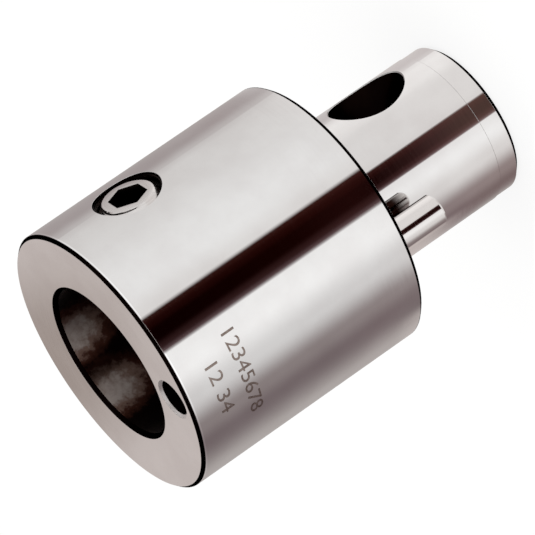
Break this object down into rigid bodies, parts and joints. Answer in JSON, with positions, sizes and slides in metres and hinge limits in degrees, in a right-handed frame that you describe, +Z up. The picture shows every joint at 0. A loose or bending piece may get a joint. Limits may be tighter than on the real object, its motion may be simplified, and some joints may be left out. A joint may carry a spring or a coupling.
{
  "type": "tool extension adapter",
  "caption": "Cylindrical steel extension adapter: ground body with a clamping socket and drive hole at one end, a pilot shank with a conical recess and a drive pin at the other.",
  "frame": {"origin": "on the axis, in the plane of the shank's end face, which the adapter stands on", "axes": "+Z up along the axis and out of the socket, +X out along the clamp screw"},
  "size_m": [0.042, 0.042, 0.0657],
  "materials": {
    "ground_body_steel": "hardened steel, cylindrically ground bright",
    "screw_steel": "alloy steel set screw, machined, lightly oiled",
    "pin_steel": "hardened dowel steel, ground"
  },
  "bodies": {
    "adapter": {"adapter_body": "ground_body_steel", "drive_pin": "pin_steel"},
    "screw": {"clamp_screw": "screw_steel"}
  },
  "joints": [
    {"name": "clamp_screw_feed", "type": "slide", "parent": "adapter", "child": "screw", "axis": [1, 0, 0], "range_m": [-0.0038, 0.0004]}
  ]
}
